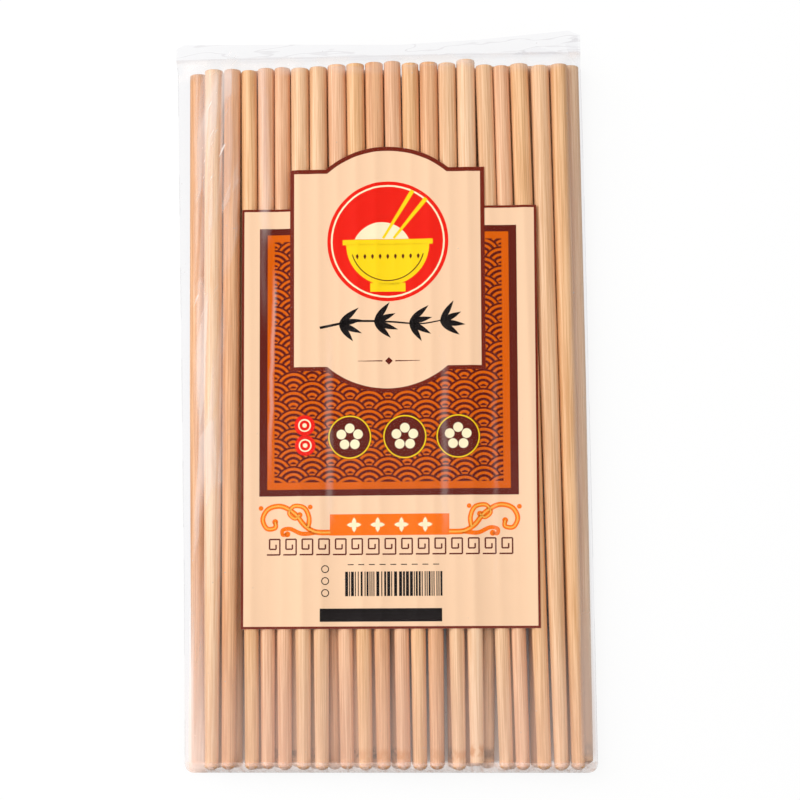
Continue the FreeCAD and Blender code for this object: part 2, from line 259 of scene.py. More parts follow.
class Cover:
    """A thin sheet let down on what lies under it, as heights over an even grid."""

    def __init__(self, low, high, steps, under, clearance, sag, turns, rim=None):
        self.low = low
        self.counts = [max(2, round((high[i] - low[i]) / steps[i])) for i in (0, 1)]
        self.steps = [(high[i] - low[i]) / self.counts[i] for i in (0, 1)]
        self.lines = [
            [low[i] + self.steps[i] * k for k in range(self.counts[i] + 1)] for i in (0, 1)
        ]
        floor = np.zeros([n + 1 for n in self.counts])
        held = np.full(floor.shape, np.nan)
        for i, x in enumerate(self.lines[0]):
            for j, y in enumerate(self.lines[1]):
                met = under.ray_cast(Vector((x, y, 1)), Vector((0, 0, -1)))[0]
                if met:
                    floor[i, j] = met.z + clearance
                if rim:
                    held[i, j] = rim(x, y)
        self.heights = self.settle(floor, held, sag, turns)

    def settle(self, floor, held, sag, turns):
        """The sheet comes down by its sag until it is held up all over."""
        is_held = ~np.isnan(held)
        share = (self.steps[0] / self.steps[1]) ** 2
        drop = sag * self.steps[0] ** 2 / 2
        z = np.full(floor.shape, floor.max())
        z[is_held] = held[is_held]
        for _ in range(turns):
            wide = np.pad(z, 1, mode="edge")
            across = (wide[:-2, 1:-1] + wide[2:, 1:-1]) / 2
            along = (wide[1:-1, :-2] + wide[1:-1, 2:]) / 2
            z = np.maximum(floor, (across + share * along) / (1 + share) - drop)
            z[is_held] = held[is_held]
        return z

    def at(self, x, y):
        """Height of the sheet at a place, straight between the grid's lines."""
        cell, part = [], []
        for i, value in enumerate((x, y)):
            along = (value - self.low[i]) / self.steps[i]
            along = min(max(along, 0.0), self.counts[i] - 1e-6)
            cell.append(int(along))
            part.append(along - int(along))
        i, j = cell
        a, b = part
        z = self.heights
        near = z[i, j] * (1 - a) + z[i + 1, j] * a
        far = z[i, j + 1] * (1 - a) + z[i + 1, j + 1] * a
        return near * (1 - b) + far * b


label_low, label_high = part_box("printed_label")
CARD_MIDDLE = (label_low.x + label_high.x) / 2
CARD_FOOT = label_low.y
margin = Vector((2 * MM, 2 * MM))
label_cover = Cover(
    label_low.xy - margin, label_high.xy + margin, (GRID_X, GRID_Y),
    looking_down(sticks[:STICKS_IN_A_LAYER]), PAPER_CLEARANCE, PAPER_SAG, PAPER_TURNS,
)


def on_card(u, v):
    """A place on the card in millimetres, from its middle line and its lower edge."""
    return Vector((CARD_MIDDLE + u * MM, CARD_FOOT + v * MM, 0))


def arc(u, v, radius, start, end, count):
    """Points of an arc on the card, its angles in degrees."""
    turns = [math.radians(start + (end - start) * i / count) for i in range(count + 1)]
    return [(u + radius * math.cos(t), v + radius * math.sin(t)) for t in turns]


def field(bm, points):
    """A flat field of the print, from its outline on the card."""
    face = bm.faces.new([bm.verts.new(on_card(u, v)) for u, v in points])
    face.normal_update()
    return face


def bar(bm, left, low, right, high):
    return field(bm, [(left, low), (right, low), (right, high), (left, high)])


def arch_bow(half, rise):
    """Radius of an arch, and the half angle that it spans."""
    radius = (half ** 2 + rise ** 2) / (2 * rise)
    return radius, math.degrees(math.asin(half / radius))


def cut_along_grid(bm, cover):
    """Cuts flat faces along the lines of the sheet's grid, so that they can bend there."""
    for axis, normal in ((0, Vector((1, 0, 0))), (1, Vector((0, 1, 0)))):
        places = [v.co[axis] for v in bm.verts]
        for line in cover.lines[axis]:
            if min(places) < line < max(places):
                geometry = bm.verts[:] + bm.edges[:] + bm.faces[:]
                bmesh.ops.bisect_plane(
                    bm, geom=geometry, dist=1e-8, plane_co=normal * line, plane_no=normal
                )


def lay_on(bm, cover, lift, thickness, name, material):
    """Lays a flat drawing on the sheet's waves as a closed skin, and makes it a piece."""
    cut_along_grid(bm, cover)
    for v in bm.verts:
        v.co.z = cover.at(v.co.x, v.co.y) + lift
    bmesh.ops.triangulate(bm, faces=bm.faces[:])
    for face in bm.faces:
        face.smooth = True
        if face.normal.z < 0:
            face.normal_flip()
    bmesh.ops.solidify(bm, geom=bm.faces[:], thickness=thickness)
    return made_piece(bm, name, material)


def made_piece(bm, name, material):
    mesh = bpy.data.meshes.new(name)
    bm.to_mesh(mesh)
    bm.free()
    mesh.materials.append(material)
    mesh.set_sharp_from_angle(angle=math.radians(50))
    piece = bpy.data.objects.new(name, mesh)
    bpy.context.scene.collection.objects.link(piece)
    return piece


def coated(name, colour, mottle=0.04, roughness=0.42):
    """Coated paper or the ink on it: nearly even, with the fine mottle of offset print."""
    material = bpy.data.materials.new(name)
    material.use_nodes = True
    tree = material.node_tree
    shader = tree.nodes["Principled BSDF"]
    place = place_on(tree)
    fine = noise_of(tree, place, 0.35 * MM, detail=2.0)
    broad = noise_of(tree, place, 9 * MM, detail=2.0)
    share = math_of(tree, "MULTIPLY", math_of(tree, "ADD", fine, broad), mottle)
    darker = [c * 0.55 for c in colour[:3]] + [1.0]
    tree.links.new(mixed(tree, share, colour, darker), shader.inputs["Base Color"])
    tree.links.new(math_of(tree, "ADD", math_of(tree, "MULTIPLY", fine, 0.1), roughness - 0.05),
                   shader.inputs["Roughness"])
    shader.inputs["Specular IOR Level"].default_value = 0.05
    return material


def label_piece(piece):
    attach(piece, "root")
    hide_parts("printed_label")
    return piece


bow_radius, bow_half = arch_bow(ARCH_HALF, ARCH_TOP - PLAQUE_TOP)
top_bow = arc(PLAQUE_U, ARCH_TOP - bow_radius, bow_radius, 90 - bow_half, 90 + bow_half, 24)
plaque_left, plaque_right = PLAQUE_U - PLAQUE_HALF, PLAQUE_U + PLAQUE_HALF

bm = bmesh.new()
field(bm, [
    (-CARD[0] / 2, 0), (CARD[0] / 2, 0), (CARD[0] / 2, CARD[1]), (plaque_right, CARD[1]),
    (plaque_right, PLAQUE_TOP), *top_bow, (plaque_left, PLAQUE_TOP),
    (plaque_left, CARD[1]), (-CARD[0] / 2, CARD[1]),
])
CREAM = coated("cream_paper", paint(247, 207, 170))
label_sheet = label_piece(lay_on(bm, label_cover, PAPER, PAPER, "label_sheet", CREAM))


# The print on the label: flat inks over one another on the paper, from the brown borders and the
# orange panel up to the plaque. The panel carries the old pattern of overlapping waves, and the
# plaque a rice bowl on a red roundel over a sprig of bamboo.
INK = 0.025 * MM
BROWN = coated("brown_ink", paint(98, 28, 16), mottle=0.12)
RUST = coated("rust_ink", paint(116, 36, 20), mottle=0.1)
ORANGE = coated("orange_ink", paint(219, 96, 0), mottle=0.1)
BRIGHT_ORANGE = coated("bright_orange_ink", paint(248, 114, 0), mottle=0.05)
RED = coated("red_ink", paint(238, 30, 14), mottle=0.06)
YELLOW = coated("yellow_ink", paint(252, 214, 22), mottle=0.05)
BLACK = coated("black_ink", paint(20, 14, 14), mottle=0.02)
PALE = coated("pale_ink", paint(250, 236, 196), mottle=0.03)
GOLD = coated("gold_ink", paint(250, 176, 70), mottle=0.05)

BORDER = 0.8
FRAME_BOX = (-44.2, 44.6, 43.5, 136.3)
FRAME_SIDE = 2.7
FRAME_END = 2.2
PANEL_MARGIN = 2.4
PLAQUE_FOOT = 87.0
PLAQUE_BORDER = 1.4
WAVE = 6.45
WAVE_BANDS = ((0.9, 1.0), (0.62, 0.76), (0.34, 0.48), (0.0, 0.2))


def inked(bm, level, name, ink):
    """Prints a drawing: level counts the inks that lie under it."""
    return label_piece(lay_on(bm, label_cover, PAPER + level * INK, INK, name, ink))


def hollow_out(bm, face, width):
    """Leaves only a border of this width of a field."""
    bmesh.ops.inset_region(bm, faces=[face], thickness=width * MM, use_boundary=True,
                           use_even_offset=True)
    bmesh.ops.delete(bm, geom=[face], context="FACES")


def disc(bm, u, v, radius, segments=48):
    made = bmesh.ops.create_circle(
        bm, cap_ends=True, segments=segments, radius=radius * MM,
        matrix=Matrix.Translation(on_card(u, v)),
    )
    return made["verts"][0].link_faces[0]


def ring(bm, u, v, radius, width):
    hollow_out(bm, disc(bm, u, v, radius), width)


def stroke(bm, path, widths):
    """A line of the print along a path, its width going from the first value to the last."""
    edge = None
    for i, (u, v) in enumerate(path):
        before = path[max(i - 1, 0)]
        after = path[min(i + 1, len(path) - 1)]
        run = Vector((after[0] - before[0], after[1] - before[1])).normalized()
        share = i / (len(path) - 1)
        half = (widths[0] + (widths[1] - widths[0]) * share) / 2
        left = on_card(u - run.y * half, v + run.x * half)
        right = on_card(u + run.y * half, v - run.x * half)
        if edge is None:
            edge = bm.edges.new((bm.verts.new(left), bm.verts.new(right)))
            continue
        made = bmesh.ops.extrude_edge_only(bm, edges=[edge])["geom"]
        first, second = [g for g in made if isinstance(g, bmesh.types.BMVert)]
        edge = [g for g in made if isinstance(g, bmesh.types.BMEdge)
                and first in g.verts and second in g.verts][0]
        if (first.co - left).length >= (second.co - left).length:
            first, second = second, first
        first.co, second.co = left, right


def curved(points, count=8):
    """A smooth path through given points."""
    path = []
    for i in range(len(points) - 1):
        a = Vector(points[max(i - 1, 0)])
        b, c = Vector(points[i]), Vector(points[i + 1])
        d = Vector(points[min(i + 2, len(points) - 1)])
        for k in range(count):
            t = k / count
            path.append(tuple(
                b + (c - a) * (t / 2) + (a * 2 - b * 5 + c * 4 - d) * (t * t / 2)
                + (b * 3 - a - c * 3 + d) * (t ** 3 / 2)
            ))
    return path + [tuple(points[-1])]


def leaf(bm, u, v, length, width, angle):
    """A pointed leaf from its foot at a place."""
    turn = math.radians(angle)
    sides = []
    for side in (1, -1):
        for k in range(1, 8):
            t = k / 8 if side == 1 else 1 - k / 8
            across = side * width / 2 * math.sin(math.pi * t ** 0.8)
            sides.append((length * t, across))
    outline = [(0, 0)] + sides[:7] + [(length, 0)] + sides[7:]
    field(bm, [(u + a * math.cos(turn) - b * math.sin(turn),
                v + a * math.sin(turn) + b * math.cos(turn)) for a, b in outline])


def wave_band(bm, u, v, inner, outer):
    """The part of one band of a wave that the waves in front leave showing."""
    def start(radius):
        reach = (radius ** 2 + 0.25) / (math.sqrt(5) * max(radius, 0.01))
        return math.degrees(math.acos(min(1.0, reach))) - math.degrees(math.atan(0.5))

    high = start(outer)
    points = arc(u, v, outer * WAVE, high, 180 - high, 14)
    if inner > 0:
        low = start(inner)
        points += arc(u, v, inner * WAVE, 180 - low, low, 14)
    field(bm, points)


bm = bmesh.new()
hollow_out(bm, bar(bm, -CARD[0] / 2 + 0.02, 0.02, CARD[0] / 2 - 0.02, CARD[1] - 0.02), BORDER)
inked(bm, 1, "print_card_border", RUST)

left, low, right, high = FRAME_BOX
bm = bmesh.new()
bar(bm, left, low, right, high)
inked(bm, 1, "print_frame", BROWN)

left, low, right, high = left + FRAME_SIDE, low + FRAME_END, right - FRAME_SIDE, high - FRAME_END
bm = bmesh.new()
bar(bm, left, low, right, high)
inked(bm, 2, "print_panel", ORANGE)

bm = bmesh.new()
rows = int((high - low) / (WAVE / 2)) + 2
for row in range(rows):
    v = low + (row - 0.5) * WAVE / 2
    for column in range(-4, 5):
        u = (left + right) / 2 + (2 * column + row % 2) * WAVE
        if abs(u) < PLAQUE_HALF - WAVE and v > PLAQUE_FOOT + WAVE / 2:
            continue
        for inner, outer in WAVE_BANDS:
            wave_band(bm, u, v, inner, outer)
for axis, place, side in ((0, left + PANEL_MARGIN, -1), (0, right - PANEL_MARGIN, 1),
                          (1, low + PANEL_MARGIN, -1), (1, high - PANEL_MARGIN, 1)):
    plane = on_card(place, place)
    normal = Vector((side, 0, 0)) if axis == 0 else Vector((0, side, 0))
    bmesh.ops.bisect_plane(bm, geom=bm.verts[:] + bm.edges[:] + bm.faces[:], dist=1e-8,
                           plane_co=plane, plane_no=normal, clear_outer=True)
inked(bm, 3, "print_waves", BROWN)

foot_bow = arc(PLAQUE_U, PLAQUE_FOOT - (ARCH_TOP - PLAQUE_TOP) + bow_radius, bow_radius,
               270 - bow_half, 270 + bow_half, 24)
plaque_outline = [
    (plaque_left, PLAQUE_FOOT), *foot_bow, (plaque_right, PLAQUE_FOOT),
    (plaque_right, PLAQUE_TOP), *top_bow, (plaque_left, PLAQUE_TOP),
]
bm = bmesh.new()
hollow_out(bm, field(bm, [(u * 0.999, v) for u, v in plaque_outline]), PLAQUE_BORDER)
inked(bm, 5, "print_plaque_border", RUST)
bm = bmesh.new()
field(bm, [(u * 0.99, v) for u, v in plaque_outline])
inked(bm, 4, "print_plaque", CREAM)

# Roundel, bowl and sprig on the plaque
ROUNDEL = (-0.25, 131.3)
ROUNDEL_RADIUS = 20.7
BOWL_RADIUS = 14.2
BOWL_LIP = (15.4, -1.2, 0.6)
BOWL_FOOT = (6.0, -17.4, -14.4)
STICKS_IN_BOWL = (((2.0, 1.0), (13.2, 14.6)), ((-1.6, 1.0), (8.6, 17.4)))
RICE_RADIUS = 10.2
u, v = ROUNDEL
bm = bmesh.new()
disc(bm, u, v, ROUNDEL_RADIUS, segments=72)
inked(bm, 5, "print_roundel", RED)
bm = bmesh.new()
field(bm, arc(u, v - 1.0, BOWL_RADIUS, 180, 360, 30))
for half, low, high in (BOWL_LIP, BOWL_FOOT):
    bar(bm, u - half, v + low, u + half, v + high)
for path in STICKS_IN_BOWL:
    stroke(bm, [(u + a, v + b) for a, b in path], (0.8, 1.5))
inked(bm, 7, "print_bowl", YELLOW)
bm = bmesh.new()
field(bm, arc(u - 2.0, v - 3.6, RICE_RADIUS, 25, 155, 22))
ring(bm, u, v, ROUNDEL_RADIUS - 1.2, 0.6)
inked(bm, 6, "print_rice_and_ring", PALE)
bm = bmesh.new()
for k in range(9):
    leaf(bm, u - 10.4 + k * 2.6, v - 4.4, 1.8, 0.9, 270)
stroke(bm, arc(u, v - 1.0, 12.6, 196, 344, 24), (0.35, 0.35))
inked(bm, 8, "print_bowl_lines", BROWN)

SPRIG_V = 103.4
RULE_V = 90.2
RULE_DIAMOND = 1.3
bm = bmesh.new()
stem = curved([(-23.5, SPRIG_V - 1.6), (-12, SPRIG_V + 0.4), (0, SPRIG_V + 0.2), (12, SPRIG_V - 0.6),
               (23.0, SPRIG_V + 1.8)])
stroke(bm, stem, (0.9, 0.35))
for foot, spread in ((-17, (38, 8, -24, -52)), (-5, (52, 22, -18, -44)), (7, (40, 10, -30, -58)),
                     (17.5, (58, 26, -6, -34))):
    height = SPRIG_V + 0.2 * math.cos(foot / 6)
    for k, angle in enumerate(spread):
        leaf(bm, foot, height, 8.6 - 0.7 * (k % 2), 2.0, angle)
inked(bm, 5, "print_sprig", BLACK)
bm = bmesh.new()
stroke(bm, [(-10.5, RULE_V), (-2.2, RULE_V)], (0.15, 0.4))
stroke(bm, [(2.2, RULE_V), (10.5, RULE_V)], (0.4, 0.15))
field(bm, [(-RULE_DIAMOND, RULE_V), (0, RULE_V - RULE_DIAMOND), (RULE_DIAMOND, RULE_V),
           (0, RULE_V + RULE_DIAMOND)])
inked(bm, 5, "print_rule", BROWN)

# Discs with blossoms on the panel
DISCS = (-13.4, 5.3, 23.3)
DISC_V = 64.4
DISC_RADIUS = 7.45
PETAL_PLACE = 3.0
PETAL_RADIUS = 1.65
SEALS = ((-28.7, 68.5), (-28.5, 61.7))
SEAL_RADIUS = 3.5
bm = bmesh.new()
for u in DISCS:
    disc(bm, u, DISC_V, DISC_RADIUS)
inked(bm, 4, "print_discs", BROWN)
bm = bmesh.new()
for u in DISCS:
    ring(bm, u, DISC_V, DISC_RADIUS - 0.15, 0.4)
inked(bm, 5, "print_disc_rings", YELLOW)
bm = bmesh.new()
for u in DISCS:
    for k in range(5):
        turn = math.radians(90 + 72 * k)
        disc(bm, u + PETAL_PLACE * math.cos(turn), DISC_V + PETAL_PLACE * math.sin(turn),
             PETAL_RADIUS, segments=20)
for u, v in SEALS:
    ring(bm, u, v, SEAL_RADIUS * 0.62, 0.45)
    disc(bm, u, v, SEAL_RADIUS * 0.22, segments=16)
inked(bm, 5, "print_blossoms", PALE)
bm = bmesh.new()
for u, v in SEALS:
    disc(bm, u, v, SEAL_RADIUS)
inked(bm, 4, "print_seals", RED)

# Banner, scrolls and fret under the panel
BANNER = (-20.2, 31.25, 20.1, 38.4)
BANNER_FLOWERS = (-12, -4, 4, 12)
FLOWER_V = 34.8
SCROLL_DOTS = ((43.6, 40.6), (26.8, 40.9))
SCROLLS = (
    ([(20.0, 32.3), (25, 32.5), (28.6, 34.6), (32.0, 38.6), (36.6, 41.2), (41.0, 40.4), (43.0, 37.0),
      (41.6, 33.8), (38.8, 34.0), (38.8, 36.0)], (1.9, 1.6)),
    ([(27.6, 33.8), (27.2, 37.2), (28.8, 40.6), (32.4, 41.2), (34.0, 38.8), (32.0, 37.0),
      (30.4, 38.2)], (1.8, 1.3)),
    ([(24.5, 32.4), (29.5, 31.9), (33.6, 33.6), (36.2, 33.2), (36.2, 31.6), (34.6, 31.8)], (1.5, 1.2)),
)
bm = bmesh.new()
bar(bm, *BANNER)
for side in (1, -1):
    for points, widths in SCROLLS:
        stroke(bm, curved([(side * u, v) for u, v in points]), widths)
        disc(bm, side * points[-1][0], points[-1][1], 1.0, segments=20)
    for u, v in SCROLL_DOTS:
        disc(bm, side * u, v, 0.8, segments=20)
inked(bm, 1, "print_banner", BRIGHT_ORANGE)
bm = bmesh.new()
for side in (1, -1):
    for points, widths in SCROLLS[:2]:
        stroke(bm, curved([(side * u, v) for u, v in points]), (0.6, 0.5))
inked(bm, 2, "print_scroll_lights", GOLD)
bm = bmesh.new()
for u in BANNER_FLOWERS:
    for angle in (0, 90, 180, 270):
        leaf(bm, u, FLOWER_V, 2.5, 1.5, angle)
inked(bm, 2, "print_banner_flowers", PALE)

FRET_LEFT = -41.6
FRET_V = (24.9, 30.1)
FRET_PITCH = 5.6
FRET_COUNT = 15
FRET_LINE = 0.5
FRET_PATH = ((0, 0), (4.4, 0), (4.4, 1), (0.9, 1), (0.9, 0.36), (3.1, 0.36), (3.1, 0.66))
bm = bmesh.new()
low, high = FRET_V
for k in range(FRET_COUNT):
    u = FRET_LEFT + k * FRET_PITCH
    path = [(u + a, low + (high - low) * b) for a, b in FRET_PATH]
    for start, end in zip(path, path[1:]):
        stroke(bm, [start, end], (FRET_LINE, FRET_LINE))
inked(bm, 1, "print_fret", BROWN)

# Bars, strip, rings and dashes at the card's foot
BARS_U = (-15.1, 17.0)
BARS_V = (10.9, 19.1)
BAR_WIDTHS = (0.33, 0.33, 0.66, 1.0)
STRIP = (-23.6, 2.4, 17.5, 6.8)
RINGS_U = -21.8
RINGS_V = (12.0, 16.0, 20.0)
DASH_LEFT = -14.2
DASH_LENGTH = 2.0
DASH_PITCH = 3.6
DASH_COUNT = 9
DASH_V = (21.3, 21.6)
bm = bmesh.new()
u, end = BARS_U
low, high = BARS_V
while u < end:
    width = chance.choice(BAR_WIDTHS)
    bar(bm, u, low, u + width, high)
    u += width + chance.choice(BAR_WIDTHS[:3])
bar(bm, *STRIP)
for v in RINGS_V:
    ring(bm, RINGS_U, v, 1.3, 0.3)
low, high = DASH_V
for k in range(DASH_COUNT):
    u = DASH_LEFT + k * DASH_PITCH
    bar(bm, u, low, u + DASH_LENGTH, high)
inked(bm, 1, "print_bars", BLACK)


# The bag: thin clear film drawn round the sticks and the label, sealed to a flat flange past the
# thick ends and folded over the thin ends. It is tight over the middle and creased at the left,
# and milky at its creases, its two sides and its foot. Painted reflections and highlights of the
# lamp are laid into that milk, in its creases and where it runs flat.
FILM_CLEARANCE = 0.34 * MM
FILM_SAG = 10.0
FILM_TURNS = 2500
FILM_GRID = (0.7 * MM, 1.5 * MM)
SIDE_RIM = 3.4 * MM
FLANGE_ROOT = 119.3 * MM
FLANGE_Z = 7.15 * MM
SEALED = 0.1 * MM
FOOT_Y = -126.5 * MM
TOP_Y = cad_high.y
LEFT_EDGE = ((FOOT_Y, -67.3 * MM), (-67 * MM, -68.0 * MM), (117 * MM, -71.6 * MM))
RIGHT_EDGE = ((FOOT_Y, 71.7 * MM), (-67 * MM, 71.2 * MM), (86 * MM, 69.7 * MM), (117 * MM, 69.1 * MM))
FLANGE_EDGE = ((-71.6 * MM, 123.2 * MM), (-68.9 * MM, 124.6 * MM), (-28.0 * MM, 123.9 * MM),
               (6.8 * MM, 123.1 * MM), (34.6 * MM, 124.3 * MM), (65.1 * MM, 126.8 * MM),
               (68.8 * MM, 125.2 * MM))
FOOT_ROUNDING = 3.2 * MM
SHEET_COLUMNS = 220
SHEET_ROWS = 180


def along_line(points, at):
    """Value of a broken line at a place along it."""
    for (x0, y0), (x1, y1) in zip(points, points[1:]):
        if at <= x1:
            return y0 + (y1 - y0) * (at - x0) / (x1 - x0)
    return points[-1][1]


def from_side(x, y):
    """How far a place lies inside the bag's sides."""
    return min(x - along_line(LEFT_EDGE, y), along_line(RIGHT_EDGE, y) - x)


def smooth(value, low, high):
    t = min(max((value - low) / (high - low), 0.0), 1.0)
    return t * t * (3 - 2 * t)


def rim_height(y):
    """Height of the bag's widest line, which climbs to the flange."""
    return SIDE_RIM + (FLANGE_Z - SIDE_RIM) * smooth(y, 115 * MM, FLANGE_ROOT)


def held_rim(x, y):
    if y > FLANGE_ROOT:
        return FLANGE_Z + SEALED
    if from_side(x, y) < 0.2 * MM or y < FOOT_Y + 0.2 * MM:
        return rim_height(y)
    return np.nan


def crowded(s, share):
    """Moves even places from -1 to 1 closer together towards both ends."""
    return s * (1 + share) - share * s ** 3


def film_place(s, t):
    """Plan of the sheet: a place of its even grid, from -1 to 1 each way, on the pack."""
    across = (1 + crowded(s, 0.3)) / 2
    share = (1 + crowded(t, 0.35)) / 2
    near_y = FOOT_Y + (TOP_Y - FOOT_Y) * share
    left = along_line(LEFT_EDGE, near_y)
    right = along_line(RIGHT_EDGE, near_y)
    x = left + (right - left) * across
    corner = max(0.0, FOOT_ROUNDING - min(x - left, right - x))
    foot = FOOT_Y + FOOT_ROUNDING - math.sqrt(max(FOOT_ROUNDING ** 2 - corner ** 2, 0.0))
    return x, foot + (along_line(FLANGE_EDGE, x) - foot) * share


def crease(x, y):
    """How far the film stands out in creases: most at the left and near both ends."""
    loose = 0.5 * smooth(-x, 38 * MM, 56 * MM) + 0.25 * smooth(x, 62 * MM, 69 * MM)
    loose += 0.35 * smooth(-y, 108 * MM, 122 * MM) + 0.4 * smooth(y, 108 * MM, 118 * MM) + 0.12
    bent = noise.noise(Vector((x / (14 * MM), y / (30 * MM), 3.1)))
    place = Vector((x / (7 * MM) + bent + 0.25 * y / (7 * MM), y / (22 * MM) + bent, 0.0))
    near = noise.voronoi(place)[0]
    fold = math.exp(-((near[1] - near[0]) / 0.16) ** 2)
    swell = 0.5 + 0.5 * noise.noise(Vector((x / (5 * MM), y / (12 * MM), 7.7)))
    return min(loose, 1.0) * (0.55 * fold + 0.45 * swell) * 0.5 * MM


film_cover = Cover(
    Vector((cad_low.x, FOOT_Y)), Vector((cad_high.x, TOP_Y)), FILM_GRID,
    looking_down(sticks + [label_sheet]), FILM_CLEARANCE, FILM_SAG, FILM_TURNS, held_rim,
)


def film_sheet(front):
    """One side of the bag, from its rim to its rim."""
    bm = bmesh.new()
    bmesh.ops.create_grid(bm, x_segments=SHEET_COLUMNS, y_segments=SHEET_ROWS, size=1)
    for v in bm.verts:
        s, t = v.co.x, v.co.y
        x, y = film_place(s, t)
        fade = (1 - abs(s) ** 10) * (1 - abs(t) ** 14)
        if max(abs(s), abs(t)) > 1 - 1e-5:
            z = rim_height(y)
        elif y > FLANGE_ROOT:
            wave = 0.5 * MM * noise.noise(Vector((x / (9 * MM), y / (4 * MM), 1.0)))
            z = FLANGE_Z + (SEALED if front else -SEALED) + wave * fade
        elif front:
            z = film_cover.at(x, y) + crease(x, y) * fade
        else:
            side = min(1.0, max(0.0, SIDE_RIM - from_side(x, y)) / SIDE_RIM)
            foot = max(0.0, FOOT_Y + SIDE_RIM * 0.6 - y) / (SIDE_RIM * 0.6)
            turn = min(1.0, side ** 2 + foot ** 2)
            z = SIDE_RIM * (1 - math.sqrt(1 - turn))
            z += (FLANGE_Z - SEALED - z) * smooth(y, 116.8 * MM, FLANGE_ROOT)
            z += 0.3 * crease(x + 0.3, y) * fade
        v.co = (x, y, z)
    if not front:
        bmesh.ops.reverse_faces(bm, faces=bm.faces[:])
        for face in bm.faces:
            face.material_index = 1
    return bm


# Where the film is milky or carries painted reflections and highlights, in millimetres on the pack:
# a pair is where a share starts and where it is full. A shine, a painted highlight, has its place
# across at y 0, lean, half width, two ends and strength.
LEFT_VEIL_X = ((-65.4, -63.2), (-47.6, -50.2))
LEFT_VEIL_Y = ((-100, 0), (117, 111))
LEFT_INSET = 4.8
LEFT_INSET_Y = (60, 36)
SLITS_Y = (10, 60)
RIGHT_VEIL_LEAN = 0.012
RIGHT_VEIL_X = ((64.2, 65.8), (70.0, 69.0))
RIGHT_VEIL_Y = ((-123, -119), (117, 112))
RIGHT_VEIL_LEAST = 0.08
RIGHT_VEIL_GAINS = (((110, 60), 0.12), ((-40, -110), 0.14))
LOW_LEFT_X = ((-66.0, -65.4), (-58.8, -60.4))
LOW_LEFT_EDGE = (-63.2, -64.6)
LOW_LEFT_Y = (-40, -122)
HAZE_Y = (-70, -120)
HEM_Y = ((-127, -125.6), (-122.2, -123.2))
SHOULDER_Y = ((110, 116), (119.6, 118.4))
FLANGE_Y = (118.2, 118.8)
SEAL_Y = 118.8
THIN_LEFT_X = (-58, -61)
THIN_RIGHT_X = (50, 60)
THIN_SIDE_Y = (120, -60)
THIN_FOOT_Y = (-119, -123)
MOST_MILK = 0.72
SHINES = (
    (-38.2, -0.02, 2.6, ((50, 64), (117, 112)), 0.24),
    (-39.3, -0.02, 1.8, ((20, 40), (66, 58)), 0.07),
    (-37.2, 0.025, 1.1, ((-34, 0), (46, 32)), 0.24),
    (-17.6, 0.0, 2.0, ((-48, -36), (36, 0)), 0.12),
    (21.6, 0.0, 2.0, ((-52, -36), (30, -4)), 0.12),
    (38.5, 0.0, 1.4, ((-74, -50), (20, -10)), 0.06),
)


